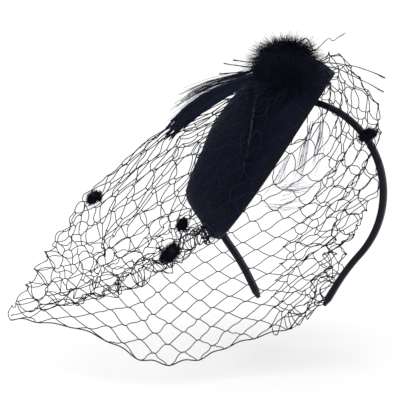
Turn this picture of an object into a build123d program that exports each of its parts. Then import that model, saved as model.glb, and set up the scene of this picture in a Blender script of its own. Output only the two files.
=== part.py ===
"""Fascinator headpiece: a satin headband, a small felt hat clipped to it, feather trim and a net veil."""
from build123d import *
from math import cos, degrees, radians, sin
import os

os.makedirs("parts", exist_ok=True)

# Frame: +Z up, the wearer faces -Y, the headband lies in the XZ plane, origin at its arc's centre.
# ---------------------------------------------------------------- driving dimensions, mm
BAND_RADIUS = 63.8       # centreline of the headband's round top
BAND_DROP = 40.2         # degrees that the round part runs below the centre on each side
FLARE_RADIUS = 149.0     # the legs turn outward again
FLARE_LENGTH = 30.0
LEG_STRAIGHT = 9.6
CORE_WIDTH = 5.0
CORE_THICK = 1.6
RIBBON_WIDTH = 7.0
RIBBON_THICK = 4.4
TIP_LENGTH = 5.0

HAT_ORIGIN = (-16.6, 0.0, 12.6)
HAT_LONG = (0.481, 0.239, 0.844)      # direction of the hat's long axis
HAT_UP = (-0.793, -0.293, 0.535)      # direction out of the crown
FELT = 2.2
RIM_HEIGHT = 1.6
LINING = 0.6
# height, centre along the long axis, length, depth and corner radius of the crown's outline
CROWN_SECTIONS = (
    (RIM_HEIGHT, 9.3, 149.6, 102.0, 40.0),
    (13.0, 10.8, 147.0, 102.0, 40.0),
    (28.0, 12.5, 132.0, 95.0, 38.0),
    (40.0, 11.0, 108.0, 80.0, 34.0),
    (48.0, 8.0, 76.0, 54.0, 26.0),
    (52.5, 6.0, 38.0, 24.0, 11.0),
)

CLIP_ANGLE = 145.0       # where on the arc the clip grips
CLIP_WIDTH = 6.0
CLIP_SHEET = 0.6
JAW_REACH = 12.0         # jaw tip past the middle of the band
PIVOT_BACK = 14.0        # pivot behind the middle of the band
LEVER_BACK = 25.0        # lever's end behind the middle of the band
PIN_RADIUS = 0.6
PIN_CLEARANCE = 0.05

PUFF_CENTRE = (-9.0, -7.0, 93.0)
PUFF_RADIUS = 21.0
BACKING_RADIUS = 17.0
GATHER = (16.5, -33.2, 81.0)          # where the veil is bunched and sewn
QUILL = 0.5                           # radius of a stripped quill
BARB = 0.4                            # radius of a single feather barb
DOT_RADIUS = 5.0
NET_WALL = 1.2

HAT = Plane(origin=HAT_ORIGIN, x_dir=HAT_LONG, z_dir=HAT_UP)


def finish(builder, name):
    """Label a finished piece and write it."""
    builder.part.label = name
    export_step(builder.part, f"parts/{name}.step")
    print(name, round(builder.part.volume, 1), "mm3", len(builder.part.solids()), "solid(s)")


# ---------------------------------------------------------------- headband
def leg(side):
    """The flare and the straight end of one leg; side is +1 or -1."""
    start = (side * BAND_RADIUS * cos(radians(BAND_DROP)), -BAND_RADIUS * sin(radians(BAND_DROP)))
    heading = (-side * sin(radians(BAND_DROP)), -cos(radians(BAND_DROP)))
    turn = side * degrees(FLARE_LENGTH / FLARE_RADIUS)
    flare = JernArc(start=start, tangent=heading, radius=FLARE_RADIUS, arc_size=turn)
    Line(flare @ 1, (flare @ 1) + (flare % 1) * LEG_STRAIGHT)


with BuildLine(Plane.XZ) as band_line:
    CenterArc((0, 0), BAND_RADIUS, -BAND_DROP, 180 + 2 * BAND_DROP)
    leg(1)
    leg(-1)
band_path = band_line.wire()
band_start = Plane(origin=band_path @ 0, x_dir=(0, 1, 0), z_dir=band_path % 0)
band_end = Plane(origin=band_path @ 1, x_dir=(0, 1, 0), z_dir=band_path % 1)

with BuildPart() as headband_core:
    with BuildSketch(band_start):
        RectangleRounded(CORE_WIDTH, CORE_THICK, 0.6)
    sweep(path=band_path)
finish(headband_core, "headband_core")

with BuildPart() as headband_ribbon:
    with BuildSketch(band_start):
        RectangleRounded(RIBBON_WIDTH, RIBBON_THICK, 2.0)
        RectangleRounded(CORE_WIDTH, CORE_THICK, 0.6, mode=Mode.SUBTRACT)
    sweep(path=band_path)
finish(headband_ribbon, "headband_ribbon")

for end, outward, side in ((band_start, -1, "right"), (band_end, 1, "left")):
    with BuildPart() as tip:
        with BuildSketch(end):
            RectangleRounded(RIBBON_WIDTH, RIBBON_THICK, 2.0)
        with BuildSketch(end.offset(outward * TIP_LENGTH)):
            RectangleRounded(RIBBON_WIDTH * 0.5, RIBBON_THICK * 0.45, 0.8)
        loft()
    finish(tip, f"headband_tip_{side}")


# ---------------------------------------------------------------- hat
def crown_outlines(inset):
    """The crown's outlines, made smaller all round by inset."""
    outlines = []
    for height, centre, length, depth, corner in CROWN_SECTIONS:
        lowered = height - (0 if height == RIM_HEIGHT else inset)
        with BuildSketch(HAT.offset(lowered)) as outline:
            with Locations((centre, 0)):
                RectangleRounded(length - 2 * inset, depth - 2 * inset, corner - inset)
        outlines.append(outline.sketch.face())
    return outlines


with BuildPart() as hat_crown:
    loft(crown_outlines(0))
    loft(crown_outlines(FELT), mode=Mode.SUBTRACT)
finish(hat_crown, "hat_crown")

with BuildPart() as hat_lining:
    loft(crown_outlines(FELT + 0.1))
    loft(crown_outlines(FELT + 0.1 + LINING), mode=Mode.SUBTRACT)
finish(hat_lining, "hat_lining")

height, centre, length, depth, corner = CROWN_SECTIONS[0]
with BuildPart() as hat_rim_binding:
    with BuildSketch(HAT):
        with Locations((centre, 0)):
            RectangleRounded(length, depth, corner)
            RectangleRounded(length - 6, depth - 6, corner - 3, mode=Mode.SUBTRACT)
    extrude(amount=RIM_HEIGHT - 0.05)
    with BuildSketch(HAT.offset(0.4)):
        with Locations((centre, 0)):
            RectangleRounded(length - 2, depth - 2, corner - 1)
            RectangleRounded(length - 4, depth - 4, corner - 2, mode=Mode.SUBTRACT)
    extrude(amount=0.8, mode=Mode.SUBTRACT)
finish(hat_rim_binding, "hat_rim_binding")

with BuildPart() as hat_rim_wire:
    with BuildSketch(HAT.offset(0.45)):
        with Locations((centre, 0)):
            RectangleRounded(length - 2.1, depth - 2.1, corner - 1.05)
            RectangleRounded(length - 3.9, depth - 3.9, corner - 1.95, mode=Mode.SUBTRACT)
    extrude(amount=0.7)
finish(hat_rim_wire, "hat_rim_wire")


# ---------------------------------------------------------------- clip under the hat
grip = radians(CLIP_ANGLE)
CLIP = Plane(
    origin=(BAND_RADIUS * cos(grip), 0, BAND_RADIUS * sin(grip)),
    x_dir=(0, -1, 0),
    z_dir=(cos(grip), 0, sin(grip)),
)
# side view and end view of the clip, with the origin on its hinge pin
PIVOT = CLIP.shift_origin(CLIP.from_local_coords(Vector(-PIVOT_BACK, 0, 0)))
SIDE = Plane(origin=PIVOT.origin, x_dir=PIVOT.x_dir, z_dir=-PIVOT.y_dir)
JAW_FACE = RIBBON_THICK / 2 + 0.1
TIP_X = JAW_REACH + PIVOT_BACK
TAIL_X = PIVOT_BACK - LEVER_BACK
EAR_ROOT = 3.0
EAR_TOP = 1.6
LEVER_DROP = 7.0         # how far the lever's end stands away from the jaw's line


def ear(side):
    """Outline of one hinge ear, from the jaw plate to round the pin."""
    Polyline(
        (-EAR_ROOT, side * JAW_FACE),
        (EAR_ROOT, side * JAW_FACE),
        (EAR_TOP, 0),
        (0, -side * EAR_TOP),
        (-EAR_TOP, 0),
        close=True,
    )


fixed_ear_in = CLIP_WIDTH / 2 - CLIP_SHEET
lever_ear_in = fixed_ear_in - 0.1 - CLIP_SHEET
with BuildPart() as clip_fixed_jaw:
    with BuildSketch(SIDE):
        with BuildLine():
            Polyline(
                (TAIL_X, JAW_FACE),
                (TIP_X - CLIP_SHEET, JAW_FACE),
                (TIP_X - CLIP_SHEET, 0.15),
                (TIP_X, 0.15),
                (TIP_X, JAW_FACE + CLIP_SHEET),
                (TAIL_X, JAW_FACE + CLIP_SHEET),
                close=True,
            )
        make_face()
    extrude(amount=CLIP_WIDTH / 2, both=True)
    with BuildSketch(SIDE.offset(fixed_ear_in)):
        with BuildLine():
            ear(1)
        make_face()
        Circle(PIN_RADIUS + PIN_CLEARANCE, mode=Mode.SUBTRACT)
    extrude(amount=CLIP_SHEET)
    with BuildSketch(SIDE.offset(-fixed_ear_in)):
        with BuildLine():
            ear(1)
        make_face()
        Circle(PIN_RADIUS + PIN_CLEARANCE, mode=Mode.SUBTRACT)
    extrude(amount=-CLIP_SHEET)
finish(clip_fixed_jaw, "clip_fixed_jaw")

with BuildPart() as clip_lever_jaw:
    with BuildSketch(SIDE):
        with BuildLine():
            Polyline(
                (-EAR_ROOT, -JAW_FACE),
                (TIP_X - CLIP_SHEET, -JAW_FACE),
                (TIP_X - CLIP_SHEET, -0.15),
                (TIP_X, -0.15),
                (TIP_X, -JAW_FACE - CLIP_SHEET),
                (-EAR_ROOT, -JAW_FACE - CLIP_SHEET),
                (TAIL_X, -JAW_FACE - LEVER_DROP - CLIP_SHEET),
                (TAIL_X, -JAW_FACE - LEVER_DROP),
                close=True,
            )
        make_face()
    extrude(amount=CLIP_WIDTH / 2, both=True)
    with BuildSketch(SIDE.offset(lever_ear_in)):
        with BuildLine():
            ear(-1)
        make_face()
        Circle(PIN_RADIUS + PIN_CLEARANCE, mode=Mode.SUBTRACT)
    extrude(amount=CLIP_SHEET)
    with BuildSketch(SIDE.offset(-lever_ear_in)):
        with BuildLine():
            ear(-1)
        make_face()
        Circle(PIN_RADIUS + PIN_CLEARANCE, mode=Mode.SUBTRACT)
    extrude(amount=-CLIP_SHEET)
finish(clip_lever_jaw, "clip_lever_jaw")

with BuildPart() as clip_pin:
    with BuildSketch(SIDE):
        Circle(PIN_RADIUS)
    extrude(amount=CLIP_WIDTH / 2 + 0.5, both=True)
    with BuildSketch(SIDE.offset(CLIP_WIDTH / 2 + 0.05), SIDE.offset(-CLIP_WIDTH / 2 - 0.55)):
        Circle(1.1)
    extrude(amount=0.5)
finish(clip_pin, "clip_pin")

with BuildPart() as clip_spring:
    with BuildSketch(SIDE):
        Circle(1.5)
        Circle(0.9, mode=Mode.SUBTRACT)
    extrude(amount=lever_ear_in - 0.1, both=True)
finish(clip_spring, "clip_spring")

with BuildPart() as clip_tab:
    with BuildSketch(CLIP.offset(JAW_FACE + CLIP_SHEET)):
        RectangleRounded(18, 8, 2)
    extrude(amount=14)
    loft(crown_outlines(FELT + 0.1 + LINING), mode=Mode.INTERSECT)
finish(clip_tab, "clip_tab")

with BuildPart() as clip_stitches:
    for along in (-7, 7):
        with BuildSketch(Plane(origin=CLIP.from_local_coords(Vector(along, 0, 0)),
                               x_dir=CLIP.y_dir, z_dir=CLIP.x_dir)):
            with Locations((0, JAW_FACE + 0.05)):
                Rectangle(CLIP_WIDTH + 1.2, 1.1)
                with Locations((0, 0.25)):
                    Rectangle(CLIP_WIDTH + 0.1, 0.7, mode=Mode.SUBTRACT)
        extrude(amount=0.25, both=True)
finish(clip_stitches, "clip_stitches")

# ---------------------------------------------------------------- trim
with BuildPart() as trim_backing:
    loft(crown_outlines(-1.3))
    loft(crown_outlines(-0.1), mode=Mode.SUBTRACT)
    with BuildSketch(Plane(origin=PUFF_CENTRE, z_dir=(0.2, 0.1, 1)).offset(-30)):
        Circle(BACKING_RADIUS)
    extrude(amount=45, mode=Mode.INTERSECT)
finish(trim_backing, "trim_backing")

with BuildPart() as marabou_puff:
    with Locations(PUFF_CENTRE):
        Sphere(PUFF_RADIUS)
    loft(crown_outlines(-1.5), mode=Mode.SUBTRACT)
finish(marabou_puff, "marabou_puff")

# the long feather tail is a flat curved vane; the rest are round shafts through three points
COQUE_TAIL = ((-16.5, -37.5, 75.6), (-39.8, -54.1, 65.6), (-62.7, -72.3, 37.5))
SHAFTS = {
    "coque_wisps": (BARB, (
        ((-20.9, -36.4, 80.6), (-39.8, -49.4, 74.6), (-57.1, -62.2, 63.7)),
        ((-19.6, -40.3, 78.9), (-41.1, -54.5, 72.3), (-59.9, -67.9, 55.7)))),
    "quill_left_1": (QUILL, (((-23.4, -26.2, 88.4), (-27.6, -28.4, 89.5), (-32.1, -30.6, 90.1)),)),
    "quill_left_2": (QUILL, (((-23.6, -26.6, 85.3), (-30.5, -30.1, 86.6), (-37.4, -33.7, 87.4)),)),
    "quill_left_3": (QUILL, (((-22.8, -26.5, 82.6), (-31.4, -31.0, 82.1), (-40.1, -35.8, 80.6)),)),
    "quill_right_1": (QUILL, (((23.4, 8.5, 89.8), (38.5, 11.7, 87.0), (58.9, 18.2, 78.1)),)),
    "quill_right_2": (QUILL, (((28.4, 9.8, 86.2), (43.7, 13.0, 80.0), (58.7, 17.2, 68.6)),)),
    "quill_zigzag": (QUILL, (((14.0, 5.8, 98.7), (21.6, 8.2, 105.0), (32.4, 11.9, 109.1)),)),
    "quill_loop": (QUILL, (((5.0, 2.0, 107.6), (9.6, 4.2, 106.6), (12.8, 5.1, 98.0)),)),
    "quill_front": (QUILL, (((-8.2, -49.9, 66.2), (-9.0, -54.4, 40.7), (-11.8, -59.2, 15.5)),)),
    "rear_wisp": (BARB, (
        ((-1.3, 44.2, 52.5), (-7.0, 41.5, 20.9), (-17.1, 32.8, -13.1)),
        ((-16.1, 39.5, 28.5), (-22.9, 34.9, 5.7), (-33.4, 26.9, -9.5)))),
}
with BuildPart() as coque_tail:
    with BuildLine() as vane_line:
        ThreePointArc(*COQUE_TAIL)
    vane_path = vane_line.wire()
    with BuildSketch(Plane(origin=vane_path @ 0, x_dir=(-0.3, 0.6, 0.75), z_dir=vane_path % 0)):
        Ellipse(5.5, 0.5)
    sweep(path=vane_path)
finish(coque_tail, "coque_tail")

for name, (shaft_radius, shafts) in SHAFTS.items():
    with BuildPart() as feather:
        for route in shafts:
            with BuildLine() as shaft_line:
                ThreePointArc(*route)
            shaft_path = shaft_line.wire()
            with BuildSketch(Plane(origin=shaft_path @ 0, z_dir=shaft_path % 0)):
                Circle(shaft_radius)
            sweep(path=shaft_path)
    finish(feather, name)

# ---------------------------------------------------------------- veil
# The net falls from the gather in a fan. Each row is one line down the fan, from the hem up to
# the gather's edge; the front fall goes round to the left corner, and the rear fall comes back.
FRONT_FALL = (
    ((41, -17, 93), (68, -9, 55), (65, -18, 1), (40, -44, -64)),
    ((37, -25, 71), (50, -28, 30), (46, -38, -14), (23, -64, -82)),
    ((30, -36, 55), (35, -43, 18), (27, -59, -31), (0, -88, -85)),
    ((20, -46, 49), (17, -59, 5), (5, -78, -39), (-17, -107, -92)),
    ((11, -53, 46), (-1, -71, 2), (-14, -93, -42), (-32, -123, -95)),
    ((1, -59, 46), (-18, -79, 6), (-35, -106, -35), (-60, -133, -87)),
    ((-6, -63, 49), (-33, -84, 12), (-56, -112, -30), (-91, -135, -79)),
    ((-13, -64, 54), (-54, -84, 38), (-95, -107, -7), (-144, -131, -79)),
)
REAR_FALL = (
    ((-13, -60, 50), (-54, -81, 34), (-95, -104, -11), (-143, -128, -80)),
    ((-13, -60, 48), (-48, -75, 20), (-88, -92, -25), (-128, -109, -76)),
    ((-11, -58, 43), (-37, -72, 12), (-70, -83, -29), (-92, -91, -66)),
    ((-8, -57, 38), (-26, -69, 5), (-47, -78, -24), (-59, -83, -47)),
    ((-5, -58, 34), (-13, -68, 5), (-22, -73, -14), (-26, -77, -27)),
)
GATHER_PART = 0.3        # the front fall's wall starts this far from the gather to its first points


def fall_points(rows, from_gather):
    """Grid of points of one fall, with a first row near the gather when from_gather is set."""
    grid = []
    for row in rows:
        points = [Vector(*point) for point in row]
        if from_gather:
            points.insert(0, Vector(*GATHER) + (points[0] - Vector(*GATHER)) * GATHER_PART)
        grid.append(points)
    return grid


for name, rows, from_gather in (("veil_front", FRONT_FALL, True), ("veil_rear", REAR_FALL, False)):
    surface = Face.make_surface_from_array_of_points(fall_points(rows, from_gather))
    with BuildPart() as veil:
        thicken(surface, amount=NET_WALL)
    finish(veil, name)

with BuildPart() as gather_stitch:
    with Locations(Plane(origin=GATHER, z_dir=(0.3, -0.7, 0.6))):
        Torus(2.6, 0.6)
        Cylinder(1.2, 4)
finish(gather_stitch, "gather_stitch")

DOTS = ((-89.5, -112.7, 0.3), (-31.0, -103.9, -14.2), (-33.2, -115.7, -30.8), (61.6, -27.1, 40.6))
for number, place in enumerate(DOTS, 1):
    with BuildPart() as dot:
        with Locations(place):
            Sphere(DOT_RADIUS)
    finish(dot, f"chenille_dot_{number}")
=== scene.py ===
"""Looks of the fascinator headpiece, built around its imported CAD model. Lengths here are millimetres."""

import math

import bpy
import numpy as np
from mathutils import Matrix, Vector, noise


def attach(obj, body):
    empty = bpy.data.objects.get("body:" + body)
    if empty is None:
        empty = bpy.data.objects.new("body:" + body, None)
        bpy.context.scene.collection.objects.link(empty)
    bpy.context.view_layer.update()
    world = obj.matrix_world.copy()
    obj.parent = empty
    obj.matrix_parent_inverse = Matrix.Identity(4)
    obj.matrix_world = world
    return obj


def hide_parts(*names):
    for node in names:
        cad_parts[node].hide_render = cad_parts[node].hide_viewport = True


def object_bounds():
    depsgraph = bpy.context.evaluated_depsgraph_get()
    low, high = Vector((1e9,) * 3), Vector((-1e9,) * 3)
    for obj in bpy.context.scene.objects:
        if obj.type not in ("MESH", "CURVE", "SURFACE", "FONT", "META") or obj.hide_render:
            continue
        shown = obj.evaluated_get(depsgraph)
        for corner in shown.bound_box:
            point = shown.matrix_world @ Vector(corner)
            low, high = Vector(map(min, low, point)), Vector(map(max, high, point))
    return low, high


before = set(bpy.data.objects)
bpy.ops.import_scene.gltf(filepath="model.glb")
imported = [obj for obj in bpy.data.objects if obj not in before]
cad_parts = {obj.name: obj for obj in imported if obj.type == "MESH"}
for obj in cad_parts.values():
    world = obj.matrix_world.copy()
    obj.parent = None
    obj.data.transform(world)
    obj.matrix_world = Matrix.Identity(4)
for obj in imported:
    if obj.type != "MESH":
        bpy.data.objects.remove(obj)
CAD_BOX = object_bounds()
MM = 0.001
SEED = 7
rng = np.random.default_rng(SEED)
noise.seed_set(SEED)        # vector noise takes its offsets from the clock unless it is seeded


# ---------------------------------------------------------------- camera
def unit(vector):
    """The vector at length 1."""
    vector = np.asarray(vector, float)
    return vector / np.linalg.norm(vector)


AZIMUTH = math.radians(27.7)
ELEVATION = math.radians(5.0)
DISTANCE = 500.0
LOOK_OFFSET = (65.0, 6.0)      # the photo's centre lies this far left of and below the band's centre
LENS = 63.9
BACK = np.array([
    math.sin(AZIMUTH) * math.cos(ELEVATION),
    -math.cos(AZIMUTH) * math.cos(ELEVATION),
    math.sin(ELEVATION),
])
RIGHT = np.array([math.cos(AZIMUTH), math.sin(AZIMUTH), 0.0])
UP = np.cross(BACK, RIGHT)


def make_camera():
    """The scene's camera, at the angle that the object is seen from."""
    data = bpy.data.cameras.new("camera")
    data.lens = LENS
    data.sensor_width = 36.0
    data.clip_start = 0.01
    camera = bpy.data.objects.new("camera", data)
    bpy.context.collection.objects.link(camera)
    place = BACK * DISTANCE - RIGHT * LOOK_OFFSET[0] - UP * LOOK_OFFSET[1]
    camera.location = Vector(place * MM)
    camera.rotation_euler = Vector(BACK).to_track_quat("Z", "Y").to_euler()
    bpy.context.scene.camera = camera


make_camera()
bpy.context.scene.view_settings.view_transform = "Standard"


# ---------------------------------------------------------------- materials
def new_material(name):
    """A material with its Principled shader; returns the material, its nodes' maker and the shader."""
    material = bpy.data.materials.new(name)
    material.use_nodes = True
    tree = material.node_tree
    shader = tree.nodes["Principled BSDF"]
    return material, tree, shader


def add(tree, kind, **inputs):
    """Add a node, set its named inputs and return it."""
    node = tree.nodes.new(kind)
    for key, value in inputs.items():
        node.inputs[key.replace("_", " ")].default_value = value
    return node


def surface(name, dark, light, rough, blotch, grain, bump, kind="noise", sheen=0.0, metal=0.0, coat=0.0,
            sheen_tint=(0.35, 0.42, 0.75), specular=0.5, stretch=(1, 1, 1), anisotropic=0.0):
    """A procedural surface: two tones mixed by blotches and grain, with bump and varied roughness."""
    material, tree, shader = new_material(name)
    link = tree.links.new
    place = add(tree, "ShaderNodeTexCoord")
    scale = add(tree, "ShaderNodeMapping", Scale=stretch)
    link(place.outputs["Object"], scale.inputs["Vector"])
    large = add(tree, "ShaderNodeTexNoise", Scale=blotch, Detail=4.0, Roughness=0.6)
    link(scale.outputs["Vector"], large.inputs["Vector"])
    if kind == "weave":
        fine = add(tree, "ShaderNodeTexWave", Scale=grain, Distortion=0.6, Detail=2.0)
        fine.bands_direction = "DIAGONAL"
        fine_out = fine.outputs["Fac"]
    elif kind == "rib":
        fine = add(tree, "ShaderNodeTexWave", Scale=grain, Distortion=0.2, Detail=1.0)
        fine.bands_direction = "Z"
        fine_out = fine.outputs["Fac"]
    else:
        fine = add(tree, "ShaderNodeTexNoise", Scale=grain, Detail=8.0, Roughness=0.75)
        fine_out = fine.outputs["Fac"]
    link(scale.outputs["Vector"], fine.inputs["Vector"])
    both = add(tree, "ShaderNodeMath")
    both.operation = "MULTIPLY"
    link(large.outputs["Fac"], both.inputs[0])
    link(fine_out, both.inputs[1])
    ramp = add(tree, "ShaderNodeValToRGB")
    ramp.color_ramp.elements[0].position = 0.12
    ramp.color_ramp.elements[0].color = (*dark, 1)
    ramp.color_ramp.elements[1].position = 0.55
    ramp.color_ramp.elements[1].color = (*light, 1)
    link(both.outputs[0], ramp.inputs["Fac"])
    link(ramp.outputs["Color"], shader.inputs["Base Color"])
    spread = add(tree, "ShaderNodeMapRange")
    spread.inputs["To Min"].default_value = rough[0]
    spread.inputs["To Max"].default_value = rough[1]
    link(large.outputs["Fac"], spread.inputs["Value"])
    link(spread.outputs["Result"], shader.inputs["Roughness"])
    relief = add(tree, "ShaderNodeBump", Strength=bump[0], Distance=bump[1] * MM)
    link(fine_out, relief.inputs["Height"])
    link(relief.outputs["Normal"], shader.inputs["Normal"])
    shader.inputs["Metallic"].default_value = metal
    shader.inputs["Sheen Weight"].default_value = sheen
    shader.inputs["Sheen Roughness"].default_value = 0.4
    shader.inputs["Sheen Tint"].default_value = (*sheen_tint, 1)
    shader.inputs["Coat Weight"].default_value = coat
    shader.inputs["Specular IOR Level"].default_value = specular
    shader.inputs["Anisotropic"].default_value = anisotropic
    return material


FELT = surface("felt", (0.0030, 0.0042, 0.011), (0.0070, 0.0100, 0.028), (0.75, 0.95), 90, 2600,
               (0.6, 0.25), sheen=0.02, specular=0.08)
LINING = surface("lining", (0.004, 0.0045, 0.009), (0.010, 0.011, 0.020), (0.45, 0.65), 60, 1500,
                 (0.5, 0.1), kind="weave", sheen=0.02, specular=0.2)
BINDING = surface("binding", (0.0035, 0.0042, 0.009), (0.010, 0.012, 0.026), (0.6, 0.8), 120, 1400,
                  (0.7, 0.2), kind="rib", sheen=0.03, specular=0.12)
SATIN = surface("satin", (0.003, 0.0032, 0.007), (0.008, 0.009, 0.017), (0.35, 0.5), 70, 1800,
                (0.35, 0.08), kind="weave", sheen=0.02, specular=0.14, anisotropic=0.5)
TIP = surface("tip_plastic", (0.003, 0.003, 0.006), (0.008, 0.008, 0.013), (0.35, 0.5), 200, 1200,
              (0.2, 0.05), specular=0.25)
CORE = surface("core_plastic", (0.02, 0.02, 0.024), (0.04, 0.04, 0.05), (0.4, 0.6), 200, 1200, (0.2, 0.05))
STEEL = surface("clip_steel", (0.50, 0.50, 0.52), (0.78, 0.78, 0.80), (0.18, 0.34), 150, 2400,
                (0.15, 0.03), metal=1.0, stretch=(1, 0.1, 1))
WIRE = surface("wire", (0.30, 0.30, 0.31), (0.5, 0.5, 0.52), (0.25, 0.4), 150, 2400, (0.1, 0.02), metal=1.0)
THREAD = surface("thread", (0.003, 0.003, 0.007), (0.009, 0.009, 0.016), (0.5, 0.7), 300, 3000,
                 (0.4, 0.05), specular=0.2)
NET = surface("net_thread", (0.0030, 0.0045, 0.011), (0.0080, 0.012, 0.028), (0.5, 0.7), 150, 3000,
              (0.3, 0.05), kind="weave", specular=0.07)
DOWN = surface("marabou_down", (0.003, 0.0035, 0.009), (0.010, 0.0125, 0.030), (0.7, 0.9), 140, 1500,
               (0.3, 0.05), sheen=0.02, specular=0.12)
COQUE = surface("coque_vane", (0.0015, 0.004, 0.013), (0.005, 0.018, 0.055), (0.4, 0.6), 110, 1600,
                (0.4, 0.06), sheen=0.02, specular=0.2)
QUILL = surface("quill_horn", (0.003, 0.003, 0.006), (0.012, 0.012, 0.018), (0.35, 0.5), 160, 900,
                (0.2, 0.05), specular=0.3)
PALE_QUILL = surface("pale_quill", (0.02, 0.02, 0.028), (0.06, 0.06, 0.075), (0.35, 0.5), 160, 900,
                     (0.2, 0.05), specular=0.3)
WISP = surface("wisp_barb", (0.05, 0.07, 0.16), (0.20, 0.24, 0.42), (0.4, 0.6), 160, 900, (0.2, 0.05))
CHENILLE = surface("chenille_pile", (0.0025, 0.0025, 0.007), (0.008, 0.009, 0.022), (0.7, 0.9), 300, 2000,
                   (0.3, 0.05), sheen=0.02, specular=0.12)


# ---------------------------------------------------------------- mesh helpers
def make_mesh(name, verts, faces, material, smooth=True):
    """A mesh object from points in millimetres."""
    data = bpy.data.meshes.new(name)
    data.from_pydata((np.asarray(verts, float) * MM).tolist(), [], np.asarray(faces).tolist())
    data.polygons.foreach_set("use_smooth", [smooth] * len(data.polygons))
    data.materials.append(material)
    data.validate()
    data.update()
    piece = bpy.data.objects.new(name, data)
    bpy.context.collection.objects.link(piece)
    return piece


def tubes(lines, radii, sides):
    """Open-ended tubes round many lines at once: lines is (count, points, 3), radii is per point."""
    lines = np.asarray(lines, float)
    count, points, _ = lines.shape
    along = np.gradient(lines, axis=1)
    along /= np.linalg.norm(along, axis=2, keepdims=True) + 1e-12
    helper = np.where(np.abs(along[..., 2:3]) < 0.8, (0.0, 0.0, 1.0), (1.0, 0.0, 0.0))
    helper = np.broadcast_to(helper[:, :1], along.shape)
    first = np.cross(along, helper)
    first /= np.linalg.norm(first, axis=2, keepdims=True) + 1e-12
    second = np.cross(along, first)
    radii = np.broadcast_to(np.asarray(radii, float), (count, points))[..., None, None]
    turn = np.arange(sides) * 2 * math.pi / sides
    ring = first[:, :, None] * np.cos(turn)[:, None] + second[:, :, None] * np.sin(turn)[:, None]
    verts = (lines[:, :, None] + ring * radii).reshape(-1, 3)
    start = (np.arange(count)[:, None, None] * points + np.arange(points - 1)[:, None]) * sides
    near = start + np.arange(sides)
    far = start + (np.arange(sides) + 1) % sides
    faces = np.stack([near, far, far + sides, near + sides], -1).reshape(-1, 4)
    return verts, faces


def joined(parts):
    """Several (verts, faces) of quads as one."""
    verts = np.concatenate([p[0] for p in parts])
    shift = np.cumsum([0] + [len(p[0]) for p in parts[:-1]])
    return verts, np.concatenate([p[1] + s for p, s in zip(parts, shift)])


def curve_through(points, count, even=True):
    """Points along a smooth curve through the given ones, evenly spaced or in step with the given ones."""
    points = np.asarray(points, float)
    padded = np.vstack([2 * points[0] - points[1], points, 2 * points[-1] - points[-2]])
    fine = []
    for k in range(len(points) - 1):
        a, b, c, d = padded[k:k + 4]
        for t in np.linspace(0, 1, 16, endpoint=False):
            fine.append(0.5 * (2 * b + (c - a) * t + (2 * a - 5 * b + 4 * c - d) * t**2
                               + (3 * b - a - 3 * c + d) * t**3))
    fine = np.array(fine + [points[-1]])
    if even:
        run = np.concatenate([[0], np.cumsum(np.linalg.norm(np.diff(fine, axis=0), axis=1))])
    else:
        run = np.arange(len(fine))
    want = np.linspace(0, run[-1], count)
    return np.stack([np.interp(want, run, fine[:, k]) for k in range(3)], 1)


def ball(centre, radii, turns=24, rings=16, bumpy=0.0):
    """A closed rounded lump made of quads, with small poles left as rings."""
    theta = np.linspace(0.02, math.pi - 0.02, rings)
    phi = np.arange(turns) * 2 * math.pi / turns
    grid = np.stack([
        np.sin(theta)[:, None] * np.cos(phi),
        np.sin(theta)[:, None] * np.sin(phi),
        np.repeat(np.cos(theta)[:, None], turns, 1),
    ], -1).reshape(-1, 3)
    if bumpy:
        grid *= np.array([1 + bumpy * noise.noise(Vector(p * 2.3) + Vector(centre)) for p in grid])[:, None]
    verts = grid * radii + centre
    start = np.arange(rings - 1)[:, None] * turns
    near = start + np.arange(turns)
    far = start + (np.arange(turns) + 1) % turns
    faces = np.stack([near, near + turns, far + turns, far], -1).reshape(-1, 4)
    return verts, faces


def strands(roots, heads, curl, radius, points=6):
    """Lines from roots towards heads, each bent sideways by a random curl, with tapering radii."""
    count = len(roots)
    t = np.linspace(0, 1, points)[None, :, None]
    reach = heads - roots
    side = np.cross(reach, rng.normal(size=(count, 3)))
    side /= np.linalg.norm(side, axis=1, keepdims=True) + 1e-9
    bend = side * (curl * rng.normal(size=(count, 1)) * np.linalg.norm(reach, axis=1, keepdims=True))
    wave = np.cross(reach, side)
    wave /= np.linalg.norm(wave, axis=1, keepdims=True) + 1e-9
    ripple = wave[:, None] * np.sin(t * math.pi * 2 + rng.uniform(0, 6, (count, 1, 1))) * 0.5
    lines = roots[:, None] + reach[:, None] * t + bend[:, None] * t**2 + ripple * t
    taper = radius * (1 - 0.75 * np.linspace(0, 1, points))
    return tubes(lines, taper, 3)


def directions(count):
    """Random unit vectors."""
    ways = rng.normal(size=(count, 3))
    return ways / np.linalg.norm(ways, axis=1, keepdims=True)


def unit_rows(rows):
    """Each row at length 1."""
    return rows / (np.linalg.norm(rows, axis=1, keepdims=True) + 1e-9)


# ---------------------------------------------------------------- hat
HAT_ORIGIN = np.array([-16.6, 0.0, 12.6])
HAT_X = unit([0.481, 0.239, 0.844])
HAT_N = np.array([-0.793, -0.293, 0.535])
HAT_N = unit(HAT_N - HAT_X * (HAT_N @ HAT_X))
HAT_Y = np.cross(HAT_N, HAT_X)
HAT_TOP_X = 8.0


def from_hat(local):
    """Points in hat coordinates (along, across, out of the crown) turned into the shared frame."""
    local = np.asarray(local, float)
    return HAT_ORIGIN + local[..., :1] * HAT_X + local[..., 1:2] * HAT_Y + local[..., 2:3] * HAT_N


def to_hat(points):
    """Points of the shared frame turned into hat coordinates."""
    q = np.asarray(points, float) - HAT_ORIGIN
    return np.stack([q @ HAT_X, q @ HAT_Y, q @ HAT_N], -1)


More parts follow.
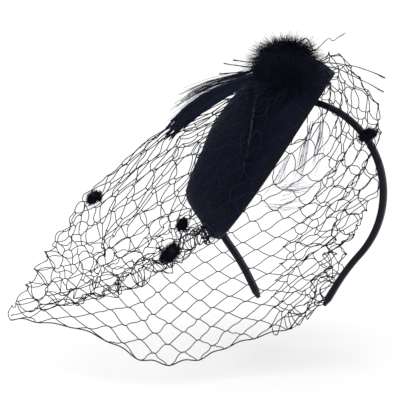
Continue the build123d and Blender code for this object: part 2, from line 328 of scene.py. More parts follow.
# crown profiles from rim to top: (share of the rim's distance from the top point, height)
LEFT_PROFILE = ((0.965, 5.5), (0.995, 11), (0.93, 21), (0.87, 31), (0.81, 39), (0.73, 44), (0.63, 45.8),
                (0.52, 45.2), (0.455, 44.0), (0.37, 47.4), (0.26, 50.3), (0.13, 52.2), (0.0, 53.0))
RIGHT_PROFILE = ((0.985, 0.8), (1.0, 8), (0.985, 16), (0.94, 23), (0.87, 29), (0.78, 34), (0.69, 39),
                 (0.58, 43.5), (0.47, 47), (0.36, 50), (0.25, 52), (0.13, 53.0), (0.0, 53.0))
SIDE_PROFILE = ((0.985, 0.8), (1.0, 10), (0.985, 19), (0.955, 27), (0.90, 34), (0.83, 40), (0.73, 44.5),
                (0.61, 47.5), (0.48, 49.5), (0.36, 51), (0.25, 52), (0.13, 52.8), (0.0, 53.0))
REACH_LEFT = 70.0
REACH_RIGHT = 76.0
REACH_SIDE = 51.0
OVAL = 2.35                    # exponent of the rim's rounded outline
FOLD_START = np.array([44.0, 43.0])      # along the hat, height
FOLD_END = np.array([-14.0, 16.0])


def smooth(x):
    """A step from 0 to 1 that starts and ends level."""
    x = np.clip(x, 0, 1)
    return x * x * (3 - 2 * x)


def crown_points(turn, up, inset=0.0):
    """Points of the crown in hat coordinates: turn is an angle round it, up runs from rim 0 to top 1."""
    stops = np.linspace(0, 1, len(SIDE_PROFILE))
    c, s = np.cos(turn), np.sin(turn)
    weights = (np.maximum(0, -c)**2, np.maximum(0, c)**2, s**2)
    share = 0
    height = 0
    for weight, profile in zip(weights, (LEFT_PROFILE, RIGHT_PROFILE, SIDE_PROFILE)):
        profile = np.array(profile)
        share = share + weight * np.interp(up, stops, profile[:, 0])
        height = height + weight * np.interp(up, stops, profile[:, 1])
    outline = (np.abs(c)**OVAL + np.abs(s)**OVAL)**(-1 / OVAL)
    reach_x = np.where(c < 0, REACH_LEFT, REACH_RIGHT) - inset
    x = HAT_TOP_X + share * reach_x * c * outline
    y = share * (REACH_SIDE - inset) * s * outline
    return np.stack([x, y, height - inset * smooth(up * 4)], -1)


def fold_relief(local):
    """How far the felt stands out (+) or in (-) at the wrapped-over fold on the front side."""
    x, y, n = local[..., 0], local[..., 1], local[..., 2]
    run = FOLD_END - FOLD_START
    length = np.linalg.norm(run)
    way = run / length
    along = ((x - FOLD_START[0]) * way[0] + (n - FOLD_START[1]) * way[1]) / length
    bow = 3.0 * np.sin(np.clip(along, 0, 1) * math.pi)
    off = (x - FOLD_START[0]) * way[1] - (n - FOLD_START[1]) * way[0] + bow
    proud = 2.6 * np.exp(-np.clip(off, 0, None) / 12)
    sunk = -3.6 * np.exp(np.clip(off, None, 0) / 11)
    step = smooth(off / 1.6 + 0.5)
    fade = smooth((along + 0.15) / 0.2) * smooth((1.22 - along) / 0.3) * smooth((-y - 4) / 14)
    return (proud * step + sunk * (1 - step)) * fade


def crown_grid(turns, levels, inset=0.0, relief=1.0, texture=0.25):
    """Crown surface as a grid of points with outward relief along the surface's normals."""
    turn = np.arange(turns) * 2 * math.pi / turns
    up = np.linspace(0, 0.995, levels)
    local = crown_points(turn[None, :], up[:, None], inset)
    du = np.roll(local, -1, 1) - np.roll(local, 1, 1)
    dv = np.gradient(local, axis=0)
    normal = np.cross(du, dv)
    normal /= np.linalg.norm(normal, axis=2, keepdims=True) + 1e-9
    amount = fold_relief(local) * relief
    lumps = np.array([noise.noise(Vector(p / 17.0)) for p in local.reshape(-1, 3)]).reshape(amount.shape)
    return local + normal * (amount + texture * 2 * lumps)[..., None]


def grid_faces(levels, turns):
    """Four-sided faces between neighbouring levels of a closed grid."""
    start = np.arange(levels - 1)[:, None] * turns
    near = start + np.arange(turns)
    far = start + (np.arange(turns) + 1) % turns
    return np.stack([near, far, far + turns, near + turns], -1).reshape(-1, 4)


CROWN_TURNS = 260
CROWN_LEVELS = 110
INNER_LEVELS = 60
LINING_TURNS = 120
LINING_LEVELS = 50
RIM_TURNS = 240
RIM_SIDES = 10


def make_crown():
    """The felt: outer and inner skins, joined at the rim and closed at the top."""
    turns, levels = CROWN_TURNS, CROWN_LEVELS
    outer = crown_grid(turns, levels)
    inner = crown_grid(turns, INNER_LEVELS, inset=2.2)
    verts = np.concatenate([outer.reshape(-1, 3), inner.reshape(-1, 3)])
    shut = levels * turns
    inner_faces = grid_faces(INNER_LEVELS, turns)[:, ::-1] + shut
    rim = np.arange(turns)
    rim_next = (rim + 1) % turns
    edge = np.stack([rim + shut, rim_next + shut, rim_next, rim], -1)
    inner_top = shut + (INNER_LEVELS - 1) * turns
    faces = np.concatenate([grid_faces(levels, turns), inner_faces, edge]).tolist()
    faces.append(list(range((levels - 1) * turns, shut)))
    faces.append(list(range(inner_top, inner_top + turns))[::-1])
    data = bpy.data.meshes.new("felt_crown")
    data.from_pydata((from_hat(verts) * MM).tolist(), [], faces)
    data.polygons.foreach_set("use_smooth", [True] * len(data.polygons))
    data.materials.append(FELT)
    crown = bpy.data.objects.new("felt_crown", data)
    bpy.context.collection.objects.link(crown)
    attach(crown, "hat")
    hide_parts("hat_crown")


def make_lining():
    """The lining cloth: two skins just inside the felt, joined at the rim."""
    lining = crown_grid(LINING_TURNS, LINING_LEVELS, inset=2.7, texture=0.1)
    thin = crown_grid(LINING_TURNS, LINING_LEVELS, inset=3.3, texture=0.1)
    verts = np.concatenate([lining.reshape(-1, 3), thin.reshape(-1, 3)])
    skin = grid_faces(LINING_LEVELS, LINING_TURNS)
    shut = LINING_LEVELS * LINING_TURNS
    rim = np.arange(LINING_TURNS)
    rim_next = (rim + 1) % LINING_TURNS
    edge = np.stack([rim + shut, rim_next + shut, rim_next, rim], -1)
    faces = np.concatenate([skin, skin[:, ::-1] + shut, edge])
    piece = make_mesh("lining_cloth", from_hat(verts), faces, LINING)
    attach(piece, "hat")
    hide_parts("hat_lining")


def make_rim():
    """The rim's ribbon, folded round the felt's edge, and the wire inside it."""
    rim_turn = np.arange(RIM_TURNS) * 2 * math.pi / RIM_TURNS
    edge_line = crown_points(rim_turn, np.zeros(RIM_TURNS), 1.1)
    edge_line[:, 2] += 0.2
    around = np.arange(RIM_SIDES) * 2 * math.pi / RIM_SIDES
    outward = unit_rows(np.stack([edge_line[:, 0] - HAT_TOP_X, edge_line[:, 1], 0 * edge_line[:, 1]], -1))
    tall = np.array([0.0, 0.0, 1.0])
    start = np.arange(RIM_TURNS)[:, None] * RIM_SIDES
    after = ((np.arange(RIM_TURNS) + 1) % RIM_TURNS)[:, None] * RIM_SIDES
    side = np.arange(RIM_SIDES)
    side_next = (side + 1) % RIM_SIDES
    faces = np.stack([start + side, after + side, after + side_next, start + side_next], -1).reshape(-1, 4)
    for name, wide, high, lift, material, node, slot_name in (
        ("rim_ribbon", 1.55, 2.6, 1.2, BINDING, "hat_rim_binding", "binding"),
        ("rim_wire_ring", 0.5, 0.5, -0.2, WIRE, "hat_rim_wire", "wire"),
    ):
        ring = (edge_line[:, None] + outward[:, None] * (np.cos(around) * wide)[None, :, None]
                + tall * (np.sin(around) * high + lift)[None, :, None])
        piece = make_mesh(name, from_hat(ring.reshape(-1, 3)), faces, material)
        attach(piece, "hat")
        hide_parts(node)


make_crown()
make_lining()
make_rim()


# ---------------------------------------------------------------- veil: one knotted net
GATHER = np.array([16.5, -33.2, 81.0])
# one line down the fan for each fold of the net, from near the gather to the hem: the front fall runs
# up to the line at the left corner, and the rear fall comes back behind it from there
FAN = np.array([
    ((38, -18, 94), (66, -9, 65), (69, -11, 30), (61, -19, -5), (48, -33, -41), (38, -46, -67)),
    ((39, -24, 74), (54, -21, 44), (50, -30, 11), (41, -43, -17), (36, -51, -44), (28, -61, -78)),
    ((34, -32, 58), (39, -37, 27), (25, -53, -4), (14, -65, -29), (11, -72, -58), (11, -79, -83)),
    ((24, -40, 50), (19, -52, 22), (3, -68, -4), (-6, -79, -31), (-7, -87, -60), (-5, -93, -88)),
    ((15, -49, 48), (2, -61, 24), (-14, -77, -2), (-21, -90, -29), (-21, -101, -60), (-18, -107, -94)),
    ((5, -54, 49), (-11, -70, 26), (-30, -85, 1), (-37, -102, -28), (-36, -114, -61), (-32, -123, -95)),
    ((-2, -58, 53), (-24, -77, 31), (-44, -94, 5), (-53, -111, -25), (-53, -122, -59), (-52, -129, -91)),
    ((-8, -61, 58), (-34, -81, 38), (-58, -100, 7), (-71, -115, -26), (-75, -126, -54), (-74, -133, -80)),
    ((-12, -63, 63), (-46, -82, 41), (-75, -104, 7), (-94, -117, -27), (-104, -126, -55), (-111, -132, -77)),
    ((-15, -61, 67), (-52, -80, 46), (-90, -103, 11), (-109, -115, -18), (-124, -123, -46),
     (-144, -133, -78)),
    ((-15, -59, 62), (-47, -73, 42), (-83, -93, -5), (-102, -102, -38), (-116, -108, -60),
     (-133, -115, -75)),
    ((-15, -58, 57), (-44, -71, 30), (-73, -87, -12), (-89, -94, -43), (-100, -97, -62), (-109, -102, -72)),
    ((-12, -57, 52), (-38, -72, 21), (-59, -83, -18), (-71, -88, -38), (-78, -89, -51), (-83, -93, -62)),
    ((-7, -55, 41), (-29, -69, 8), (-46, -78, -18), (-53, -81, -31), (-57, -83, -39), (-59, -85, -48)),
    ((-5, -54, 36), (-21, -66, 5), (-30, -72, -13), (-33, -74, -19), (-36, -76, -26), (-39, -78, -32)),
    ((-3, -54, 33), (-15, -63, 5), (-21, -68, -9), (-23, -70, -16), (-24, -72, -21), (-26, -73, -26)),
], float)
CORNER_LINE = 9             # the line of FAN where the net folds back at the left corner
# lines that the net is bunched along, each drawing nearby knots towards it
CREASES = (
    ((-20, -81, -24), (-9, -84, -41), (6, -77, -57), (26, -64, -73)),
    ((6, -67, -4), (8, -71, -31), (11, -75, -61)),
    ((-29, -77, -25), (-43, -82, -22), (-51, -87, -38), (-62, -92, -51), (-92, -103, -65),
     (-123, -115, -71), (-142, -130, -76)),
    ((-73, -95, -2), (-60, -98, -24), (-70, -106, -39), (-64, -109, -50), (-47, -120, -70)),
    ((50, -28, 5), (42, -39, -19), (41, -45, -44), (41, -46, -64)),
)
CREASE_WIDTH = 11.0
CREASE_PULL = 0.7
MESH_SIDE = 13.0            # thread between two knots
THREAD_RADIUS = 0.29
HEM_RADIUS = 0.36
TWIST = 0.9                 # half the length over which two threads are twisted together at a knot
FRONT_SHARE = 8 / 15        # share of the fan that FRONT_COLUMNS covers
FRONT_COLUMNS = 18
REAR_COLUMNS = 27
HALF_ROWS = 27
ROW_SPREAD = ((0, 4, 15, 27), (0.04, 0.20, 0.66, 1.0))     # rows, and the share down the fan at each
PLEAT_COLUMNS = 10          # columns folded back behind the right edge
PLEAT_REACH = 0.12
PLEAT_DEPTH = 9.0


def fan_table():
    """Points of the net's guide surface: rows are steps round the fan, columns steps down it."""
    lines = [curve_through(np.vstack([GATHER, row]), 61, even=False) for row in FAN]
    steps = np.array([curve_through([line[k] for line in lines], 226, even=False) for k in range(61)])
    return steps.transpose(1, 0, 2)


def look_up(table, around, down):
    """Guide surface at shares around and down, each from 0 to 1."""
    a = np.clip(around, 0, 1) * (table.shape[0] - 1)
    d = np.clip(down, 0, 1) * (table.shape[1] - 1)
    a0 = np.minimum(a.astype(int), table.shape[0] - 2)
    d0 = np.minimum(d.astype(int), table.shape[1] - 2)
    fa, fd = (a - a0)[..., None], (d - d0)[..., None]
    return ((table[a0, d0] * (1 - fa) + table[a0 + 1, d0] * fa) * (1 - fd)
            + (table[a0, d0 + 1] * (1 - fa) + table[a0 + 1, d0 + 1] * fa) * fd)


def outside_hat(points, gap):
    """Push points that are inside the hat out through its front side, to gap from the felt."""
    local = to_hat(points)
    x, y, n = local.T
    side = np.array(SIDE_PROFILE)
    share = np.interp(n, side[:, 1], side[:, 0], left=0.985, right=0)
    across = np.where(x < HAT_TOP_X, REACH_LEFT, REACH_RIGHT) * share
    rest = 1 - np.abs((x - HAT_TOP_X) / np.maximum(across, 1))**OVAL
    depth = np.where(rest > 0, REACH_SIDE * share * np.maximum(rest, 0)**(1 / OVAL), 0)
    front = -(depth + gap)
    inside = (rest > 0) & (n > -3) & (n < 53) & (y > front) & (y < 30)
    local[:, 1] = np.where(inside, front, y)
    return from_hat(local)


def net_nodes():
    """Knots of the net: its diamond lattice laid on the guide surface."""
    table = fan_table()
    pleat = np.linspace(PLEAT_REACH, 0.0, PLEAT_COLUMNS, endpoint=False)
    front = np.linspace(0, FRONT_SHARE, FRONT_COLUMNS, endpoint=False)
    columns = np.concatenate([pleat, front, np.linspace(FRONT_SHARE, 1, REAR_COLUMNS + 1)])
    count = len(columns)
    share = np.interp(np.arange(HALF_ROWS + 1), *ROW_SPREAD)
    keep, target, index = [], [], {}
    for i in range(count):
        line = look_up(table, np.full(HALF_ROWS + 1, columns[i]), share)
        if i < PLEAT_COLUMNS:
            behind = PLEAT_DEPTH * np.sin(share * math.pi) * (columns[i] / PLEAT_REACH)**0.5
            line = line - BACK * behind[:, None]
        for j in range(HALF_ROWS + 1):
            if (i + j) % 2 == 0:
                index[i, j] = len(keep)
                keep.append((i, j))
                target.append(line[j])
    return np.array(keep), np.array(target), index, columns


def relax(places, edges, length, slack, soft, rounds):
    """Keep every thread between its slack and full length while knots are held softly in place."""
    points = places.copy()
    a, b = edges.T
    share = np.bincount(a, minlength=len(points)) + np.bincount(b, minlength=len(points))
    for _ in range(rounds):
        gap = points[b] - points[a]
        now = np.linalg.norm(gap, axis=1)
        want = np.clip(now, length * slack, length)
        move = gap * ((now - want) / now * 0.5)[:, None]
        shift = np.zeros_like(points)
        for axis in range(3):
            shift[:, axis] = (np.bincount(a, move[:, axis], len(points))
                              - np.bincount(b, move[:, axis], len(points)))
        points += shift / share[:, None] * 1.7
        points += (places - points) * soft[:, None]
        points = outside_hat(points, 1.2)
    return points


def drawn_to_creases(points):
    """Bunch the knots that lie near a crease towards it."""
    moved = points.copy()
    for crease in CREASES:
        line = curve_through(crease, 60)
        gap = line[None] - points[:, None]
        far = np.linalg.norm(gap, axis=2)
        nearest = far.argmin(axis=1)
        rows = np.arange(len(points))
        pull = CREASE_PULL * np.clip(1 - far[rows, nearest] / CREASE_WIDTH, 0, 1)
        moved += gap[rows, nearest] * pull[:, None]
    return moved


def twist_ways(places, knots, index):
    """Direction round the fan at each knot, along which its two threads are twisted."""
    ways = np.empty_like(places)
    for row, (i, j) in enumerate(knots):
        before = index.get((i - 2, j), row)
        after = index.get((i + 2, j), row)
        ways[row] = places[after] - places[before]
    return unit_rows(ways + 1e-6 * RIGHT)


def thread_lines(places, edges, turns, ways, loose):
    """Centre lines of the threads from twist to twist, bowed where the net is loose."""
    a = places[edges[:, 0]] + ways[edges[:, 0]] * (TWIST * turns)[:, None]
    b = places[edges[:, 1]] - ways[edges[:, 1]] * (TWIST * turns)[:, None]
    chord = np.linalg.norm(b - a, axis=1)
    sag = np.sqrt(0.375 * chord * np.clip(MESH_SIDE - chord, 0, 6)) * loose + 0.12
    bow = unit_rows(np.cross(b - a, rng.normal(size=(len(edges), 3))))
    bow *= sag[:, None]
    t = np.linspace(0, 1, 6)[None, :, None]
    kink = np.sin(2 * math.pi * t) * 0.35 * bow[::-1, None]
    return a[:, None] * (1 - t) + b[:, None] * t + bow[:, None] * (4 * t * (1 - t)) + kink


def knot_balls(places, ways):
    """A small oval at each knot, long along its twist."""
    verts, faces = ball(np.zeros(3), (1.15, 0.46, 0.46), 6, 4)
    second = unit_rows(np.cross(ways, BACK[None]))
    third = np.cross(ways, second)
    placed = (places[:, None] + verts[None, :, :1] * ways[:, None] + verts[None, :, 1:2] * second[:, None]
              + verts[None, :, 2:] * third[:, None])
    numbered = faces[None] + (np.arange(len(places)) * len(verts))[:, None, None]
    return placed.reshape(-1, 3), numbered.reshape(-1, 4)


def hem_line(places, index, corner):
    """The front fall's lower edge: a heavier thread that dips at each knot."""
    knots = [places[index[i, HALF_ROWS]] for i in range(PLEAT_COLUMNS, corner) if (i, HALF_ROWS) in index]
    points = [knots[0]]
    for before, after in zip(knots, knots[1:]):
        points.append((before + after) / 2 + UP * rng.uniform(0.6, 2.0) + BACK * rng.uniform(-1, 1))
        points.append(after)
    return curve_through(points, 8 * len(points))


def make_net():
    """The veil: knots laid on the fan and relaxed, then threads, hem and knots. Returns the knots."""
    knots, target, index, columns = net_nodes()
    last = knots[:, 0].max()
    corner = int(np.argmin(np.abs(columns - CORNER_LINE / (len(FAN) - 1))
                           + (np.arange(len(columns)) < PLEAT_COLUMNS)))
    edges, turns = [], []
    for (i, j), k in index.items():
        for step in (-1, 1):
            other = index.get((i + step, j + 1))
            cut_open = min(i, i + step) == corner and j > 0.62 * HALF_ROWS
            if other is not None and not cut_open:
                edges.append((k, other))
                turns.append(step)
    edges, turns = np.array(edges), np.array(turns)
    down = knots[:, 1] / HALF_ROWS
    around = columns[knots[:, 0]]
    right = np.exp(-(around / 0.12)**2) * (1 - 0.4 * down)
    cone = smooth((around - 0.44) / 0.10) * smooth((0.80 - down) / 0.3)
    calm = smooth((0.60 - around) / 0.08) * smooth((down - 0.36) / 0.2) * smooth((around - 0.05) / 0.08)
    contour = np.exp(-((around - CORNER_LINE / (len(FAN) - 1)) / 0.035)**2)
    crush = (1.0 + 0.5 * right + 1.3 * cone) * (1 - 0.8 * calm) * (1 - 0.8 * contour)
    wander = np.array([
        3.0 * noise.noise_vector(Vector(p / 34.0)) + 2.6 * noise.noise_vector(Vector(p / 12.0))
        for p in target
    ])
    wander *= (crush * np.clip(down * 5, 0.25, 1))[:, None]
    wander += rng.normal(scale=0.6, size=wander.shape) * (np.clip(down * 4, 0.3, 1) * crush)[:, None]
    held = np.where((down == 0) | (down == 1), 0.3, 0.04)
    held = np.where((knots[:, 0] == 0) | (knots[:, 0] == last) | (knots[:, 0] == corner), 0.12, held)
    slack = (0.95 - 0.35 * np.clip(right + cone, 0, 1))[edges].mean(axis=1)
    slack = np.where(calm[edges].mean(axis=1) > 0.5, 0.5, slack)
    places = relax(outside_hat(drawn_to_creases(target + wander), 1.2), edges, MESH_SIDE, slack, held, 120)
    ways = twist_ways(places, knots, index)
    loose = 0.55 * (1 - 0.9 * calm[edges].mean(axis=1))
    hem = hem_line(places, index, corner)
    verts, faces = joined([
        tubes(thread_lines(places, edges, turns, ways, loose), THREAD_RADIUS, 5),
        tubes(hem[None], HEM_RADIUS, 6),
        knot_balls(places, ways),
    ])
    net = make_mesh("net_veil", verts, faces, NET)
    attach(net, "hat")
    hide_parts("veil_front", "veil_rear")
    return places


NET_KNOTS = make_net()


# ---------------------------------------------------------------- feather trim
PUFF = np.array([1.4, -20.1, 90.0])
TUFTS = 620
TUFT_STRANDS = 15


def puff_reach(ways):
    """How far the down stands out from the puff's heart along each way: wide, low and fuller below."""
    across, deep, high = ways @ RIGHT, ways @ BACK, ways @ UP
    tall = np.where(high > 0, 15.0, 27.0)
    return 1 / np.sqrt((across / 28.0)**2 + (deep / 26.0)**2 + (high / tall)**2)


def crown_top(local):
    """Height of the crown over each place, low outside its outline."""
    x, y = local[:, 0], local[:, 1]
    reach_x = np.where(x < HAT_TOP_X, REACH_LEFT, REACH_RIGHT)
    share = (np.abs((x - HAT_TOP_X) / reach_x)**OVAL + np.abs(y / REACH_SIDE)**OVAL)**(1 / OVAL)
    profile = np.array(SIDE_PROFILE)[::-1]
    return np.interp(share, profile[:, 0], profile[:, 1], right=-99)


def clear_of_crown(roots, heads):
    """Which strands end outside the crown."""
    ends = to_hat(roots * 0.3 + heads * 0.7)
    tips = to_hat(heads)
    return (ends[:, 2] > crown_top(ends)) & (tips[:, 2] > crown_top(tips) + 0.3)


def make_puff():
    """Marabou: a small heart, and tufts of down that stand out all round and hang lower in front."""
    ways = np.repeat(directions(TUFTS), TUFT_STRANDS, axis=0)
    ways = unit_rows(ways + rng.normal(scale=0.15, size=ways.shape))
    length = np.repeat(rng.uniform(0.70, 1.10, TUFTS), TUFT_STRANDS) * rng.uniform(0.70, 1.0, len(ways))
    reach = puff_reach(ways) * length
    roots = PUFF + ways * (reach * rng.uniform(0.1, 0.5, len(ways)))[:, None]
    heads = PUFF + ways * reach[:, None] + rng.normal(scale=1.2, size=ways.shape)
    kept = clear_of_crown(roots, heads)
    verts, faces = strands(roots[kept], heads[kept], 0.2, 0.15, 4)
    tuft = make_mesh("marabou_tuft", verts, faces, DOWN)
    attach(tuft, "hat")
    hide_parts("marabou_puff")

    verts, faces = ball(np.zeros(3), (14, 15, 8), 28, 18, 0.35)
    verts = verts[:, :1] * RIGHT + verts[:, 1:2] * BACK + verts[:, 2:] * UP + PUFF + UP
    heart = make_mesh("marabou_heart", verts, faces, DOWN)
    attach(heart, "hat")

    # longer down that hangs over the front of the crown and the feathers' roots
    count = 6500
    middle = PUFF + BACK * 15 - UP * 6
    spots = directions(count) * rng.uniform(0, 1, (count, 1))
    roots = middle + RIGHT * (spots[:, :1] * 20 - 2) + BACK * spots[:, 1:2] * 7 + UP * spots[:, 2:] * 10
    way = unit_rows(RIGHT * rng.normal(-0.20, 0.5, (count, 1)) + BACK * rng.uniform(0.1, 0.9, (count, 1))
                    - UP * rng.uniform(0.35, 1.2, (count, 1)))
    heads = roots + way * rng.uniform(6, 19, (count, 1))
    kept = clear_of_crown(roots, heads)
    verts, faces = strands(roots[kept], heads[kept], 0.2, 0.15, 4)
    skirt = make_mesh("marabou_skirt", verts, faces, DOWN)
    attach(skirt, "hat")


def feather_line(route, count):
    """A smooth line of count points along a route."""
    return curve_through(np.array(route, float), count)


COQUE_ROUTE = ((-4, -38, 78), (-20, -43, 73.5), (-40.5, -55.5, 61), (-53, -64, 49), (-61.5, -70.5, 37.5))


def make_coque_tail():
    """A bundle of long coque barbs lying side by side in a flat curved vane with ragged ends."""
    count = 420
    spine = feather_line(COQUE_ROUTE, 26)
    along = unit_rows(np.gradient(spine, axis=0))
    across = unit_rows(np.cross(along, BACK[None]))
    share = np.linspace(0, 1, 26)
    width = 1.8 + 3.2 * smooth(share / 0.6)
    place = rng.uniform(-1, 1, count)
    layer = rng.normal(0, 0.45, count)
    ends = rng.uniform(0.80, 1.0, count) * (1 - 0.10 * np.abs(place)) + 0.06 * np.sin(place * 9)
    lines, radii = [], []
    for k in range(count):
        reach = np.clip(ends[k], 0.6, 1.04)
        stops = np.linspace(rng.uniform(0, 0.05), min(reach, 1.0), 14)
        centre = np.stack([np.interp(stops, share, spine[:, m]) for m in range(3)], 1)
        side = np.stack([np.interp(stops, share, across[:, m]) for m in range(3)], 1)
        wide = np.interp(stops, share, width)[:, None]
        wave = 0.25 * np.sin(stops * 11 + rng.uniform(0, 6))[:, None]
        lines.append(centre + side * (place[k] * wide + wave) + BACK * (layer[k] + 0.5 * place[k]**2))
        radii.append(np.linspace(0.30, 0.16, 14))
    verts, faces = tubes(np.array(lines), np.array(radii), 4)
    tail = make_mesh("coque_vane", verts, faces, COQUE)
    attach(tail, "hat")
    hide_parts("coque_tail")


def make_wisps():
    """Single barbs that fly clear above the tail, in three loose groups."""
    lines = []
    groups = (
        ((-12, -30, 84), (-20.9, -37.4, 80.0), (-39.8, -49.9, 73.5), (-57.1, -62.2, 63.7)),
        ((-12, -30, 82), (-19.6, -40.3, 77.5), (-41.1, -54.5, 70.0), (-60.5, -68.4, 55.0)),
        ((-12, -30, 80), (-19.6, -40.3, 75.5), (-41.1, -54.5, 66.0), (-61.0, -69.0, 47.0)),
    )
    for group in groups:
        spine = feather_line(group, 12)
        for _ in range(26):
            spread = rng.normal(scale=1.3, size=3)
            grow = np.linspace(0.3, 1.3, 12)[:, None]
            cut = rng.uniform(0.7, 1.0)
            line = spine + spread * grow
            stops = np.linspace(0, cut * 11, 12)
            lines.append(np.stack([np.interp(stops, np.arange(12), line[:, m]) for m in range(3)], 1))
    verts, faces = tubes(np.array(lines), np.linspace(0.20, 0.08, 12)[None], 4)
    wisps = make_mesh("coque_barbs", verts, faces, COQUE)
    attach(wisps, "hat")
    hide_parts("coque_wisps")


QUILLS = {
    "quill_left_1": (0.50, ((-14, -18, 88), (-23.4, -25.2, 88.8), (-32.1, -30.6, 90.1))),
    "quill_left_2": (0.50, ((-14, -18, 85), (-23.6, -25.6, 85.6), (-37.4, -33.7, 87.4))),
    "quill_left_3": (0.50, ((-14, -18, 83), (-22.8, -25.5, 82.4), (-40.1, -35.8, 80.6))),
    "quill_right_1": (0.42, ((4, 2, 90), (24.0, 8.5, 89.0), (38.5, 11.7, 86.4),
                             (50, 15, 82.6), (58.9, 18.2, 78.1))),
    "quill_right_2": (0.42, ((4, 2, 88), (26.0, 8.6, 85.6), (41.7, 12.3, 78.2),
                             (50, 14.6, 73.6), (58.7, 17.2, 68.6))),
    "quill_zigzag": (0.36, ((4, 0, 94), (14, 5.8, 98.4), (21.6, 8.2, 105.6),
                            (24.7, 9.7, 103.8), (28, 10.6, 106.4), (32.4, 11.9, 109.1))),
    "quill_loop": (0.42, ((8.7, -25.0, 91.1), (11.0, -25.6, 95.5), (13.4, -25.0, 99.9),
                          (16.3, -23.3, 102.4), (18.5, -21.2, 100.0), (19.6, -17.8, 95.0))),
}


def make_quills():
    """Stripped quills: tapered shafts with a split, slightly rough end."""
    for node, (radius, route) in QUILLS.items():
        spine = feather_line(route, 22)
        wobble = np.array([noise.noise_vector(Vector(p / 6.0)) for p in spine]) * 0.35
        share = np.linspace(0, 1, 22)
        taper = radius * (1.05 - 0.45 * share) * (1 + 0.12 * np.sin(share * 37))
        parts = [tubes((spine + wobble)[None], taper[None], 7)]
        for _ in range(5):
            start = rng.integers(14, 20)
            nib = spine[start:] + wobble[start:]
            spread = rng.normal(scale=0.5, size=3) * np.linspace(0, 1, len(nib))[:, None]
            parts.append(tubes((nib + spread)[None], np.linspace(0.15, 0.07, len(nib))[None], 4))
        verts, faces = joined(parts)
        quill = make_mesh(node.replace("quill", "shaft"), verts, faces, QUILL)
        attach(quill, "hat")
        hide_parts(node)
    # the pale quill down the front of the crown follows the felt's fold
    route = crown_front_line(((45, 39), (33, 33.5), (17, 26), (2, 19.5), (-12, 14)), 1.2)
    spine = curve_through(route, 30)
    verts, faces = joined([
        tubes(spine[None], np.linspace(0.42, 0.22, 30)[None], 7),
        tubes((spine + np.array([0.8, -0.4, 0.2]))[None, 4:22], np.linspace(0.2, 0.12, 18)[None], 5),
    ])
    quill = make_mesh("shaft_front", verts, faces, PALE_QUILL)
    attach(quill, "hat")
    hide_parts("quill_front")


def crown_front_line(places, gap):
    """Points on the crown's front side at (along the hat, height) places, standing off by gap."""
    side = np.array(SIDE_PROFILE)
    points = []
    for x, n in places:
        share = np.interp(n, side[:, 1], side[:, 0])
        across = (REACH_LEFT if x < HAT_TOP_X else REACH_RIGHT) * share
        depth = REACH_SIDE * share * max(1 - abs((x - HAT_TOP_X) / across)**OVAL, 0)**(1 / OVAL)
        points.append((x, -(depth + gap + 2.2), n))
    return from_hat(np.array(points))


def make_rear_wisp():
    """Pale loose barbs that hang behind the crown and show below its edge."""
    lines = []
    routes = (
        (22, 2.4, ((-1.3, 44.2, 52.5), (-5.5, 42.5, 34), (-9.0, 39.5, 14), (-17.1, 32.8, -13.1))),
        (14, 2.4, ((-16.1, 39.5, 28.5), (-20.9, 36.4, 14), (-26.5, 32, 2), (-33.4, 26.9, -9.5))),
        (24, 2.2, ((6, 46, 58), (5, 45, 40), (1, 43, 22), (-6, 40, 6))),
        (16, 4.5, ((-24, 26, 2), (-14, 32, 0), (-4, 37, 2), (6, 41, 6))),
        (16, 4.5, ((-30, 24, -12), (-20, 30, -13), (-10, 35, -11), (0, 39, -8))),
    )
    for barbs, loose, route in routes:
        spine = feather_line(route, 12)
        for _ in range(barbs):
            spread = rng.normal(scale=loose, size=3)
            line = spine + spread * np.linspace(0.4, 1.1, 12)[:, None]
            line += np.array([noise.noise_vector(Vector(p / 7.0)) for p in line]) * 1.1
            first = rng.uniform(0, 6)
            stops = np.linspace(first, first + rng.uniform(2, 5), 12)
            lines.append(np.stack([np.interp(stops, np.arange(12), line[:, m]) for m in range(3)], 1))
    verts, faces = tubes(np.array(lines), np.linspace(0.17, 0.08, 12)[None], 4)
    wisp = make_mesh("pale_barbs", verts, faces, WISP)
    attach(wisp, "hat")
    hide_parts("rear_wisp")


make_puff()
make_coque_tail()
make_wisps()
make_quills()
make_rear_wisp()


# ---------------------------------------------------------------- dots and gather on the veil
# place of each dot, its half sizes across and along, and the tilt of its long side in the view
DOTS = (
    ((-89.5, -112.7, 0.3), 4.6, 5.8, 40),
    ((-31.0, -103.9, -14.2), 4.2, 5.0, 20),
    ((-33.2, -115.7, -30.8), 5.8, 8.2, 48),
    ((61.6, -27.1, 40.6), 4.6, 8.2, 62),
)
DOT_SEARCH = 9.0            # how far from a dot's line of sight its knots may lie


def on_net(place):
    """The place moved along the view until it lies on the net's nearest layer."""
    away = NET_KNOTS - place
    depth = away @ BACK
    aside = np.linalg.norm(away - depth[:, None] * BACK, axis=1)
    return place + depth[aside < DOT_SEARCH].max() * BACK


